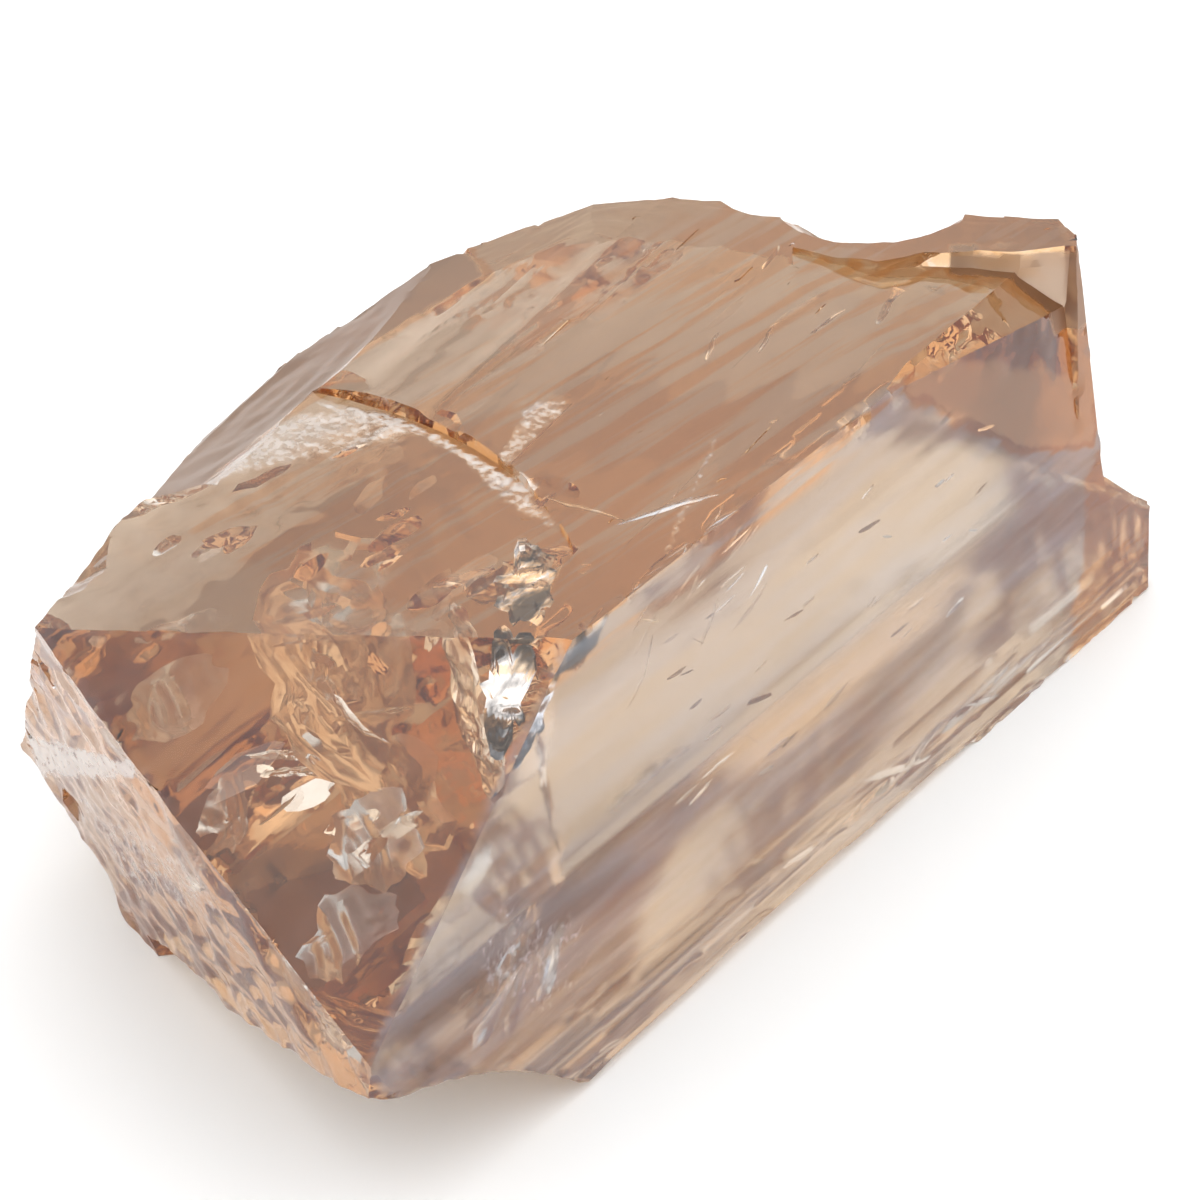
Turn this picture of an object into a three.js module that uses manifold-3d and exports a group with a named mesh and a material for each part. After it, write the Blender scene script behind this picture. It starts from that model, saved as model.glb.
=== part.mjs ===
// Topaz crystal: one broken prism of champagne-coloured topaz, lying on one of its lower prism faces.
//
// Millimetres. +Y runs along the crystal's length (its c axis), from the overhanging front tip to the
// broken back end, +X is to the right seen from the front, and +Z is up. All places below are in a
// working frame with the ground at z = 0; at the end the crystal is moved so that the bottom centre of
// its box is the origin.

import * as THREE from "three";
import { mergeVertices } from "three/addons/utils/BufferGeometryUtils.js";
import Module from "manifold-3d";

const wasm = await Module();
wasm.setup();

// ---------------------------------------------------------------------------------------------
// Driving dimensions
// ---------------------------------------------------------------------------------------------

// The prism's section seen from the front: [x, z] of its corners, anticlockwise.
const REST_RIGHT = [9.35, 0];
const RIDGE = [8.3, 15.2];
const TOP_LEFT = [-11.1, 13.7];
const LEFT_FOOT = [-10.4, 3.8];
const REST_LEFT = [-6.9, 0];

// Where the raw prism starts and stops, before its ends are broken to shape.
const FRONT_REACH = -26;
const BACK_REACH = 20;

// Striations along the length: flat strips, each set in from the full face by its own small amount.
const STRIATIONS = {
  right: { from: REST_RIGHT, to: RIDGE, width: 1.1, depth: 0.035, riser: 0.12 },
  left: { from: TOP_LEFT, to: LEFT_FOOT, width: 0.9, depth: 0.06, riser: 0.15 },
  lowerLeft: { from: LEFT_FOOT, to: REST_LEFT, width: 0.9, depth: 0.06, riser: 0.15 },
};

// Growth lines: shallow grooves. Those of the top face run a little askew to the ridge. Those of the face
// it rests on keep to its right side.
const TOP_LINES = { count: 15, from: -9.5, to: 9, skew: 0.138, width: 0.75, depth: 0.055 };
const REST_LINES = { count: 7, from: 3.6, to: 9.2, skew: 0.03, width: 0.5, depth: 0.1 };

// Flat cuts. Each goes through a point, and what lies on the side it faces is gone.
const FRONT_CUTS = {
  window: { through: [8.3, -12.4, 15.2], facing: [0.28, -0.607, 0.744] },
  leftWall: { through: [-4.7, -19.8, 14.1], facing: [-0.333, -0.911, -0.242] },
  wallByTip: { through: [5.2, -21.65, 8.85], facing: [-0.214, -0.973, -0.091] },
  leftCheek: { through: [-5.45, -18.0, 14.17], facing: [-0.877, -0.283, 0.388] },
  leftCheekBehind: { through: [-6.35, -15.5, 14.1], facing: [-0.738, -0.121, 0.665] },
  undercut: { through: [9.36, -12.65, 0], facing: [0.135, -0.507, -0.851] },
  brokenTip: { through: [8.87, -22.25, 7.0], facing: [0.8, -0.55, -0.25] },
};
const BACK_SIDE_CUTS = {
  backLeft: { through: [-8.63, 2.68, 13.86], facing: [-0.93, 0.33, 0.16] },
  backLeftTurn: { through: [-6.4, 8.6, 14.0], facing: [-0.62, 0.75, 0.22] },
};

// The back end: cleaved off above a foot that still reaches further back.
const BACK_CUTS = {
  cleavage: { through: [6.83, 14.9, 15.1], facing: [-0.4, 0.905, 0.14] },
  cleavageTurn: { through: [8.3, 14.1, 14.9], facing: [0.5, 0.855, 0.16] },
  rightSliver: { through: [8.72, 14.8, 9.03], facing: [0.8, 0.56, 0.15] },
};
// The foot's top is a low roof of two slopes.
const FOOT_TOP = {
  right: { through: [9.0, 15.7, 5.7], facing: [-0.12, 0.67, 0.73] },
  left: { through: [-3.8, 14.7, 5.6], facing: [0.1, 0.3, 0.95] },
};
const FOOT_CUTS = {
  end: { through: [9.2, 19.1, 2.0], facing: [-0.02, 0.99, -0.12] },
  rightBevel: { through: [9.2, 18.35, 1.6], facing: [0.86, 0.5, 0.06] },
  leftTurn: { through: [-9.6, 18.9, 2.0], facing: [-0.75, 0.64, 0.15] },
};

// The back right corner is broken out to a low shelf, with a rim left standing behind it.
const SHELF = {
  outline: [
    [0.7, 9.2], [2.2, 9.3], [3.5, 9.8], [4.4, 10.9], [5.6, 11.8], [7.0, 12.5], [8.1, 13.6],
    [12, 15.2], [12, 3.3], [6.5, 3.3], [3, 6],
  ],
  floor: { through: [5.6, 11.8, 14.34], facing: [-0.03, 0.103, 0.994] },
  upperBevel: { through: [8.35, 4.1, 14.75], facing: [0.669, 0.158, 0.727] },
  lowerBevel: { through: [8.57, 8.6, 11.12], facing: [0.992, 0.0455, 0.147] },
};

// A wide break fans out in rings from the struck front corner, dips backwards and ends in a low lip.
const FAN_BREAK = {
  at: [-4.6, -19.8, 14.2],
  facing: [-0.09, 0.026, 0.996],
  radius: 15.0,
  rings: 17,
  ring: 0.035,
};
const FAN_RIGHT_LIMIT = { through: [6.5, -11.4, 15], facing: [0.95, 0.31, 0] };

// Shell-like breaks: shallow bowls with rings. `at` is the middle of the bowl's rim, `facing` looks out,
// and `stretch` lengthens the bowl along the crystal.
const RING = { spacing: 0.55, height: 0.05 };
const SHELL_BREAKS = {
  leftBevel: { at: [-9.1, -4.6, 12.6], facing: [-0.5, -0.11, 0.86], radius: 3.3, stretch: 2.2, depth: 0.14 },
  lipLeft: { at: [-5.9, -5.3, 14.2], facing: [-0.2, -0.1, 0.97], radius: 1.9, depth: 0.3 },
  lipMiddle: { at: [-2.3, -5.3, 14.48], facing: [-0.07, -0.1, 0.99], radius: 1.4, depth: 0.3 },
  lipRight: { at: [3.0, -6.9, 14.87], facing: [-0.08, -0.1, 0.99], radius: 1.7, depth: 0.28 },
  cornerChip: { at: [-6.3, -15.9, 14.0], facing: [-0.42, -0.25, 0.87], radius: 1.9, depth: 0.3 },
  backDip: { at: [0.9, 12.5, 14.4], facing: [-0.05, 0.3, 0.95], radius: 2.9, depth: 1.3 },
  backDipLeft: { at: [-1.9, 12.1, 14.3], facing: [-0.1, 0.35, 0.93], radius: 2.4, depth: 0.9 },
  undercutArch: { at: [9.2, -17.6, 3.0], facing: [0.25, -0.5, -0.83], radius: 4.4, depth: 0.5 },
  undercutLeft: { at: [0.8, -16.2, 0.95], facing: [0.0, -0.6, -0.8], radius: 4.6, stretch: 0.4, depth: 0.35 },
  lowerEdge: { at: [9.17, -3.2, 0.17], facing: [0.72, 0, -0.69], radius: 0.6, stretch: 14, depth: 0.12 },
  wallFoot: { at: [-8.4, -15.6, 2.2], facing: [-0.62, -0.62, -0.48], radius: 3.6, depth: 0.6 },
  leftSide: { at: [-10.9, 1.5, 6.8], facing: [-0.99, 0.12, 0.05], radius: 4.4, depth: 0.8 },
};

// The frosted bruise on the top face, a shallow pit with one sharp long side: [x, y] of its corners.
const BRUISE = {
  depth: 0.1,
  outline: [
    [0.8, -6.4], [1.15, -6.2], [0.55, -2.2], [0.3, -1.9],
    [-0.85, -2.6], [-0.5, -3.5], [-0.1, -4.0], [0.1, -5.1],
  ],
};

// Chips: small many-sided bites along the edges, evenly spread and then shaken a little.
const CHIP_SEED = 41;
const CHIP_SHAKE = 0.6;

const CUTTER = 70; // the size of a cutting block, larger than the crystal

// ---------------------------------------------------------------------------------------------
// Chance and solids
// ---------------------------------------------------------------------------------------------

/** A repeatable source of numbers from 0 to 1. */
function chance(seed) {
  let state = seed;
  return () => {
    state = (state * 16807) % 2147483647;
    return state / 2147483647;
  };
}

/** A closed geometry as a solid that can be joined and cut. */
function solidOf(geometry) {
  const bare = geometry.clone();
  bare.deleteAttribute("normal");
  bare.deleteAttribute("uv");
  const merged = mergeVertices(bare, 1e-5);
  return new wasm.Manifold(
    new wasm.Mesh({
      numProp: 3,
      vertProperties: new Float32Array(merged.attributes.position.array),
      triVerts: new Uint32Array(merged.index.array),
    }),
  );
}

/** A solid as a geometry with flat faces. */
function geometryOf(solid) {
  const mesh = solid.getMesh();
  const geometry = new THREE.BufferGeometry();
  geometry.setAttribute("position", new THREE.BufferAttribute(mesh.vertProperties, 3));
  geometry.setIndex(new THREE.BufferAttribute(mesh.triVerts, 1));
  const flat = geometry.toNonIndexed();
  flat.computeVertexNormals();
  return flat;
}

/** Turns a geometry's own +Z to look along facing, and moves its own origin to at. */
function placed(geometry, at, facing) {
  const towards = new THREE.Vector3(...facing).normalize();
  const turn = new THREE.Quaternion().setFromUnitVectors(new THREE.Vector3(0, 0, 1), towards);
  return geometry.applyQuaternion(turn).translate(...at);
}

/** Everything on the side that a flat cut faces. */
function beyond({ through, facing }) {
  const block = new THREE.BoxGeometry(CUTTER, CUTTER, CUTTER).translate(0, 0, CUTTER / 2);
  return solidOf(placed(block, through, facing));
}

/** A flat outline in x and y, given height from z = 0 up. */
function slab(outline, height) {
  const shape = new THREE.Shape(outline.map(([x, y]) => new THREE.Vector2(x, y)));
  return new THREE.ExtrudeGeometry(shape, { depth: height, bevelEnabled: false });
}

// ---------------------------------------------------------------------------------------------
// The prism
// ---------------------------------------------------------------------------------------------

/** The section's edge from one corner to the next, stepped in and out in strips. */
function striatedEdge({ from, to, width, depth, riser }, random) {
  const start = new THREE.Vector2(...from);
  const along = new THREE.Vector2(...to).sub(start);
  const length = along.length();
  along.normalize();
  const inward = new THREE.Vector2(-along.y, along.x);
  const point = (distance, setIn) => {
    return start.clone().addScaledVector(along, distance).addScaledVector(inward, setIn);
  };

  const points = [start];
  let distance = width * (0.6 + random());
  let setIn = 0;
  while (distance < length - width) {
    points.push(point(distance, setIn));
    setIn = depth * random();
    points.push(point(distance + riser, setIn));
    distance += riser + width * (0.3 + 1.4 * random());
  }
  points.push(point(Math.min(distance, length - riser), setIn));
  return points;
}

/** Carries a section in x and z from front to back. */
function alongLength(points, front, back) {
  const shape = new THREE.Shape(points);
  const geometry = new THREE.ExtrudeGeometry(shape, { depth: back - front, bevelEnabled: false });
  return solidOf(geometry.rotateX(Math.PI / 2).translate(0, back, 0));
}

/** The striated prism, flat below, before anything is broken off it. */
function striatedPrism(random) {
  const { right, left, lowerLeft } = STRIATIONS;
  const corners = [
    ...striatedEdge(right, random),
    new THREE.Vector2(...RIDGE),
    ...striatedEdge(left, random),
    ...striatedEdge(lowerLeft, random),
    new THREE.Vector2(...REST_LEFT),
  ];
  return alongLength(corners, FRONT_REACH, BACK_REACH);
}

/** The height of the top face at x. */
function topAt(x) {
  return RIDGE[1] + ((x - RIDGE[0]) * (RIDGE[1] - TOP_LEFT[1])) / (RIDGE[0] - TOP_LEFT[0]);
}

/** The tilt of the top face, as a turn about the length. */
const TOP_TILT = -Math.atan2(RIDGE[1] - TOP_LEFT[1], RIDGE[0] - TOP_LEFT[0]);

/** Turns a geometry that lies on z = 0 to lie on the top face instead, moved along its outward side. */
function onTop(geometry, outward) {
  return geometry.translate(0, 0, outward).rotateY(TOP_TILT).translate(0, 0, topAt(0));
}

/** Turns a geometry that lies on z = 0 over, x kept, to cut into the face the crystal rests on. */
function underneath(geometry, outward) {
  return geometry.translate(0, 0, outward).rotateX(Math.PI);
}

/** Grooves put on a face by `lay`, each with its own place, width and depth. */
function growthLines({ count, from, to, skew, width, depth }, lay, random) {
  const spacing = (to - from) / count;
  const grooves = [];
  for (let i = 0; i < count; i += 1) {
    const x = from + spacing * (i + random());
    const groove = new THREE.BoxGeometry(width * (0.4 + random()), CUTTER, 2).translate(0, 0, 1);
    grooves.push(solidOf(lay(groove.rotateZ(skew).translate(x, 0, 0), -depth * (0.3 + 0.7 * random()))));
  }
  return grooves;
}

// ---------------------------------------------------------------------------------------------
// What is broken off
// ---------------------------------------------------------------------------------------------

/** The back end and its left side, broken off above the foot. */
function upperBack() {
  const aboveLeft = () => beyond(FOOT_TOP.left);
  const sides = Object.values(BACK_SIDE_CUTS).map((cut) => beyond(cut).intersect(aboveLeft()));
  const ends = Object.values(BACK_CUTS).map((cut) => beyond(cut).intersect(aboveLeft()));
  return [...sides, ...ends.map((end) => end.intersect(beyond(FOOT_TOP.right)))];
}

/** The broken-out shelf with its two bevels, each as deep as its own flat cut. */
function shelf() {
  const { outline, floor, upperBevel, lowerBevel } = SHELF;
  const column = () => solidOf(slab(outline, CUTTER));
  return [floor, upperBevel, lowerBevel].map((cut) => column().intersect(beyond(cut)));
}

/** The fan break: a disc of rings about the struck corner, with a lid over them. */
function fanBreak() {
  const { at, facing, radius, rings, ring } = FAN_BREAK;
  const profile = [];
  for (let i = 0; i <= rings; i += 1) {
    profile.push(new THREE.Vector2((radius * i) / rings, i % 2 === 0 ? 0 : -ring));
  }
  profile.push(new THREE.Vector2(radius + 0.2, 2));
  profile.push(new THREE.Vector2(0, 2));
  const disc = new THREE.LatheGeometry(profile, 72).rotateX(Math.PI / 2);
  return solidOf(placed(disc, at, facing)).subtract(beyond(FAN_RIGHT_LIMIT));
}

/** The bowl of a shell-like break with a lid on it. */
function shellBreak({ at, facing, radius, depth, stretch = 1 }) {
  const rings = Math.max(4, Math.round(radius / RING.spacing));
  const reach = 1.35;
  const profile = [];
  for (let i = 0; i <= rings * reach; i += 1) {
    const share = i / rings;
    const crest = i % 2 === 0 ? RING.height : 0;
    profile.push(new THREE.Vector2(radius * share, depth * (share * share - 1) - crest));
  }
  const rim = profile[profile.length - 1];
  profile.push(new THREE.Vector2(rim.x, rim.y + radius));
  profile.push(new THREE.Vector2(0, rim.y + radius));
  const sides = Math.max(18, Math.round(radius * stretch * 6));
  const bowl = new THREE.LatheGeometry(profile, sides).rotateX(Math.PI / 2).scale(1, stretch, 1);
  return solidOf(placed(bowl, at, facing));
}

/** The bruise's shallow pit in the top face. */
function bruise() {
  return solidOf(onTop(slab(BRUISE.outline, 2), -BRUISE.depth));
}

/** One chip: a flat-sided bite, stretched and turned by chance. */
function chip(at, size, random) {
  const bite = new THREE.OctahedronGeometry(size, 0);
  bite.scale(0.7 + 0.6 * random(), 0.9 + 1.3 * random(), 0.7 + 0.5 * random());
  bite.rotateX(6 * random()).rotateY(6 * random()).rotateZ(6 * random());
  return solidOf(bite.translate(...at));
}

/** Chips from one end of an edge to the other. `shift` moves them outwards, which makes them shallower. */
function chipsAlong({ from, to, count, size, shift }, random) {
  const start = new THREE.Vector3(...from);
  const along = new THREE.Vector3(...to).sub(start);
  const chips = [];
  for (let i = 0; i < count; i += 1) {
    const share = (i + 0.5 + CHIP_SHAKE * (random() - 0.5)) / count;
    const grow = 0.55 + 0.9 * random();
    const at = start.clone().addScaledVector(along, share);
    at.add(new THREE.Vector3(...shift).multiplyScalar(size * grow));
    chips.push(chip([at.x, at.y, at.z], size * grow, random));
  }
  return chips;
}

/** The larger single bites in the rough left edge of the front wall. */
const NOTCHES = [
  { at: [-5.6, -18.95, 11.9], size: 0.5 },
  { at: [-9.0, -16.6, 6.1], size: 0.35 },
  { at: [-8.0, -16.0, 4.2], size: 0.55 },
];

/** The edges that are chipped, each between two corners. */
const CHIPPED_EDGES = [
  { from: [8.3, -12.0, 15.2], to: [8.35, 4.0, 15.1], count: 26, size: 0.26, shift: [0.5, 0, 0.5] },
  { from: [8.3, -12.5, 15.1], to: [8.9, -22.0, 6.6], count: 9, size: 0.22, shift: [0.6, -0.3, 0.3] },
  { from: [-4.6, -19.7, 14.1], to: [3.2, -21.4, 9.8], count: 9, size: 0.24, shift: [0, -0.6, 0.2] },
  { from: [3.2, -21.4, 9.8], to: [7.8, -22.2, 7.4], count: 5, size: 0.2, shift: [0, -0.6, 0.3] },
  { from: [-4.4, -19.6, 14.15], to: [8.0, -12.7, 15.1], count: 10, size: 0.14, shift: [0, -0.4, 0.5] },
  { from: [-10.9, -5.0, 11.5], to: [-9.5, 3.2, 12.9], count: 14, size: 0.34, shift: [-0.5, 0, 0.4] },
  { from: [-7.3, -11.4, 13.7], to: [-10.6, -6.0, 11.9], count: 9, size: 0.34, shift: [-0.5, 0, 0.4] },
  { from: [-8.6, 2.8, 13.8], to: [-6.7, 8.3, 13.9], count: 8, size: 0.3, shift: [-0.5, 0.2, 0.4] },
  { from: [9.36, -12.5, 0.0], to: [9.36, 17.8, 0.0], count: 30, size: 0.3, shift: [0.5, 0, -0.4] },
  { from: [9.3, -12.8, 0.2], to: [8.95, -21.6, 5.6], count: 11, size: 0.28, shift: [0.5, -0.2, -0.5] },
  { from: [8.0, -22.2, 5.4], to: [-3.0, -17.0, 0.6], count: 16, size: 0.3, shift: [-0.2, -0.6, -0.4] },
  { from: [-5.4, -19.2, 13.0], to: [-10.2, -15.0, 3.6], count: 10, size: 0.4, shift: [-0.75, -0.4, 0] },
  { from: [-10.2, -15.0, 3.6], to: [-6.6, -15.6, 0.3], count: 7, size: 0.45, shift: [-0.5, -0.4, -0.3] },
  { from: [8.5, 13.9, 14.5], to: [8.95, 15.3, 6.0], count: 9, size: 0.26, shift: [0.4, 0.5, 0] },
  { from: [3.8, 13.5, 14.9], to: [8.2, 14.1, 15.2], count: 6, size: 0.24, shift: [0, 0.5, 0.4] },
  { from: [9.1, 18.5, 3.4], to: [9.3, 18.6, 0.2], count: 4, size: 0.3, shift: [0.6, 0.5, 0] },
];

// ---------------------------------------------------------------------------------------------
// The crystal
// ---------------------------------------------------------------------------------------------

function crystal() {
  const random = chance(CHIP_SEED);
  const raw = striatedPrism(random);
  const flatCuts = [FRONT_CUTS, FOOT_CUTS].flatMap((cuts) => Object.values(cuts).map(beyond));
  const shells = Object.values(SHELL_BREAKS).map(shellBreak);
  const notches = NOTCHES.map(({ at, size }) => chip(at, size, random));
  const chips = [...notches, ...CHIPPED_EDGES.flatMap((edge) => chipsAlong(edge, random))];
  const breaks = [...upperBack(), ...shelf(), fanBreak(), ...shells, bruise(), ...chips];
  const grooves = [...growthLines(TOP_LINES, onTop, random), ...growthLines(REST_LINES, underneath, random)];
  return [...grooves, ...flatCuts, ...breaks].reduce(
    (solid, cutter) => solid.subtract(cutter),
    raw,
  );
}

/** Moves a geometry so that the bottom centre of its box is the origin. */
function standingOnOrigin(geometry) {
  geometry.computeBoundingBox();
  const { min, max } = geometry.boundingBox;
  return geometry.translate(-(min.x + max.x) / 2, -(min.y + max.y) / 2, -min.z);
}

const material = new THREE.MeshStandardMaterial({ color: 0xc49a78, roughness: 0.08, metalness: 0 });
const mesh = new THREE.Mesh(standingOnOrigin(geometryOf(crystal())), material);
mesh.name = "topaz_crystal";

const group = new THREE.Group();
group.add(mesh);

export default group;
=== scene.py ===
"""A champagne-brown topaz crystal, broken at both ends, lying on a prism face on pale ground.

The body is made from the fixed frame's own solid: its surface is made anew of small quads and given
its growth lines, ripples and chips, and thin fractures are set inside it. Lengths are in metres,
except on the crystal, where they are in the millimetres of its working frame.
"""

import itertools
import logging
import math
from dataclasses import dataclass
from enum import Enum
from typing import Mapping, Sequence

import bpy
import numpy as np
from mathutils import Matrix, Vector
from mathutils.bvhtree import BVHTree


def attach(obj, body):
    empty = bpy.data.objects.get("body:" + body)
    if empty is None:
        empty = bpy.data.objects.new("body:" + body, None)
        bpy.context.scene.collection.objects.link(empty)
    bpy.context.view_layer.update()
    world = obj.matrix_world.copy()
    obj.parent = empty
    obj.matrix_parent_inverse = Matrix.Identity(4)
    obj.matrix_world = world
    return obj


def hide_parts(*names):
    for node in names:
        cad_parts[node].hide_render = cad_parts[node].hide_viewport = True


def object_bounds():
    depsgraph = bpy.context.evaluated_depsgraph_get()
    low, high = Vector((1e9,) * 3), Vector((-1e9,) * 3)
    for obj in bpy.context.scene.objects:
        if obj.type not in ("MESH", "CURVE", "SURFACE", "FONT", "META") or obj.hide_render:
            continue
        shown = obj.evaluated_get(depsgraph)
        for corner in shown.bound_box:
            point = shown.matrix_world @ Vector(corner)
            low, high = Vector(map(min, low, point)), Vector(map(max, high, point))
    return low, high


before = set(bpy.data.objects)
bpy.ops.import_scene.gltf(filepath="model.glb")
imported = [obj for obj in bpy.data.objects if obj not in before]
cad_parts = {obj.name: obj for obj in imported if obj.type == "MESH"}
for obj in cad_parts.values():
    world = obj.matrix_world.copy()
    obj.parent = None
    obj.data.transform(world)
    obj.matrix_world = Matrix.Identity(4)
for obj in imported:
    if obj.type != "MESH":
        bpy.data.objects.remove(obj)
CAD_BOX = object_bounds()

log = logging.getLogger("topaz")

MM = 0.001
NODE = "topaz_crystal"
WORKING_SHIFT = np.array((0.778, 1.5388, 0.0))  # from the working frame's origin to the row's, in mm

Pair = tuple[float, float]
Triple = tuple[float, float, float]

WHITE: Triple = (1.0, 1.0, 1.0)


def to_metres(places: Sequence[float] | np.ndarray) -> np.ndarray:
    """One or more places of the working frame, in mm, as metres in the row frame."""
    return (np.asarray(places, float) + WORKING_SHIFT) * MM


def to_working(points: np.ndarray) -> np.ndarray:
    """Points of the row frame, in metres, as mm in the working frame."""
    return points / MM - WORKING_SHIFT


def unit(vector: Sequence[float]) -> np.ndarray:
    """The vector at length 1."""
    array = np.asarray(vector, float)
    return array / np.linalg.norm(array)


def opaque(colour: Sequence[float]) -> tuple[float, ...]:
    """The colour with a full alpha."""
    return (*colour, 1.0)


def smoothed(share: np.ndarray) -> np.ndarray:
    """Shares from 0 to 1, eased at both ends."""
    return share * share * (3.0 - 2.0 * share)


def eased(values: np.ndarray, low: float, high: float) -> np.ndarray:
    """A smooth step from 0 at low to 1 at high.

    Args:
        values: The numbers to step.
        low: Where the step starts; it may lie above high, which turns the step round.
        high: Where the step ends.

    Returns:
        Numbers from 0 to 1.
    """
    return smoothed(np.clip((values - low) / (high - low), 0.0, 1.0))


def off_plane(points: np.ndarray, through: Triple, facing: Triple) -> np.ndarray:
    """How far points stand off a plane.

    Args:
        points: Places, one to a row.
        through: A place on the plane.
        facing: Where the plane looks.

    Returns:
        The lengths, less than 0 behind the plane.
    """
    return (points - np.asarray(through)) @ unit(facing)


class Noise:
    """Smooth repeatable noise over points in space."""

    SIDE = 32
    LAYER_SHIFT = 7.3  # keeps the layers from sharing their still places

    def __init__(self, seed: int) -> None:
        """Fills a block of chance values that repeats through space."""
        self.block = np.random.default_rng(seed).uniform(-1.0, 1.0, (self.SIDE,) * 3)

    def at(self, points: np.ndarray) -> np.ndarray:
        """Noise from -1 to 1.

        Args:
            points: Places, one to a row, with one wave to the unit.

        Returns:
            The noise at each.
        """
        cell = np.floor(points).astype(int)
        share = smoothed(points - cell)
        total = np.zeros(len(points))
        for corner in itertools.product((0, 1), repeat=3):
            weight = np.prod(np.where(corner, share, 1.0 - share), axis=1)
            total += weight * self.block[tuple(((cell + corner) % self.SIDE).T)]
        return total

    def layered(self, points: np.ndarray, layers: int = 3) -> np.ndarray:
        """Noise with finer and weaker noise on it.

        Args:
            points: Places, one to a row, with one wave of the coarsest layer to the unit.
            layers: How many layers there are, each half as coarse and strong as the last.

        Returns:
            The noise at each, from about -1 to 1.
        """
        total = sum(self.at(points * 2.0**i + self.LAYER_SHIFT * i) * 0.5**i for i in range(layers))
        return total / (2.0 - 0.5 ** (layers - 1))


# Shader nodes


class Wire:
    """An output socket of a node tree, with arithmetic that adds Math nodes."""

    def __init__(self, bench: "Bench", socket: bpy.types.NodeSocket) -> None:
        """Keeps the bench that the socket's tree is worked on."""
        self.bench = bench
        self.socket = socket

    def _maths(self, operation: str, *values: "Wire | float") -> "Wire":
        """A Math node on these values."""
        sockets = dict(enumerate(values))
        return self.bench.make("ShaderNodeMath", {"operation": operation}, sockets)

    def __add__(self, other: "Wire | float") -> "Wire":
        """Sum."""
        return self._maths("ADD", self, other)

    def __radd__(self, other: float) -> "Wire":
        """Sum with a number in front."""
        return self._maths("ADD", other, self)

    def __sub__(self, other: "Wire | float") -> "Wire":
        """Difference."""
        return self._maths("SUBTRACT", self, other)

    def __rsub__(self, other: float) -> "Wire":
        """Difference from a number in front."""
        return self._maths("SUBTRACT", other, self)

    def __mul__(self, other: "Wire | float") -> "Wire":
        """Product."""
        return self._maths("MULTIPLY", self, other)

    def __rmul__(self, other: float) -> "Wire":
        """Product with a number in front."""
        return self._maths("MULTIPLY", other, self)

    def peak(self, other: "Wire | float") -> "Wire":
        """The larger of the two."""
        return self._maths("MAXIMUM", self, other)

    def stepped(self, low: float, high: float) -> "Wire":
        """A smooth step from 0 at low to 1 at high.

        Args:
            low: Where the step starts; it may lie above high, which turns the step round.
            high: Where the step ends.

        Returns:
            The stepped value, from 0 to 1.
        """
        settings = {"interpolation_type": "SMOOTHSTEP"}
        sockets = {"Value": self, "From Min": low, "From Max": high}
        return self.bench.make("ShaderNodeMapRange", settings, sockets)


class Bench:
    """Makes and joins the nodes of one material or world."""

    def __init__(self, tree: bpy.types.NodeTree) -> None:
        """Clears the tree to work on it."""
        self.tree = tree
        tree.nodes.clear()

    def node(
        self, kind: str, settings: Mapping[str, object], sockets: Mapping[str | int, object]
    ) -> bpy.types.Node:
        """Adds a node.

        Args:
            kind: The node's type.
            settings: Its own settings, set first.
            sockets: Values or wires for its inputs, by name or number.

        Returns:
            The new node.
        """
        made = self.tree.nodes.new(kind)
        for name, value in settings.items():
            setattr(made, name, value)
        for name, value in sockets.items():
            if isinstance(value, Wire):
                self.tree.links.new(value.socket, made.inputs[name])
            else:
                made.inputs[name].default_value = value
        return made

    def make(
        self,
        kind: str,
        settings: Mapping[str, object],
        sockets: Mapping[str | int, object],
        output: str | int = 0,
    ) -> Wire:
        """Adds a node and gives one of its outputs.

        Args:
            kind: The node's type.
            settings: Its own settings, set first.
            sockets: Values or wires for its inputs.
            output: The output's name or number.

        Returns:
            That output.
        """
        return Wire(self, self.node(kind, settings, sockets).outputs[output])

    def mixed(self, share: Wire | float, first: object, second: object) -> Wire:
        """A colour between two, first where share is 0."""
        settings = {"data_type": "RGBA"}
        return self.make("ShaderNodeMix", settings, {"Factor": share, 6: first, 7: second}, 2)

    def along(self, vector: Wire, direction: Triple) -> Wire:
        """How far a vector reaches along a direction."""
        settings = {"operation": "DOT_PRODUCT"}
        return self.make("ShaderNodeVectorMath", settings, {0: vector, 1: direction}, "Value")

    def stretched(self, vector: Wire, factors: Triple) -> Wire:
        """A vector with each of its parts multiplied by its own factor."""
        settings = {"operation": "MULTIPLY"}
        return self.make("ShaderNodeVectorMath", settings, {0: vector, 1: factors})

    def noise(self, vector: Wire, waves: float, detail: float = 2.0) -> Wire:
        """Smooth noise of that many waves to the unit, with finer noise on it."""
        sockets = {"Vector": vector, "Scale": waves, "Detail": detail}
        return self.make("ShaderNodeTexNoise", {}, sockets, "Fac")


# The finish


class Mask(Enum):
    """The masks that the crystal's surface carries for its finish."""

    FROST = "frost"
    # painted shade on faces whose colour longer light paths deepen
    PAINTED_SHADE = "painted_shade"
    SATIN = "satin"
    # silvery cracks, coloured with a painted reflection
    SILVER = "silver"
    SOFT = "soft"


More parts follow.
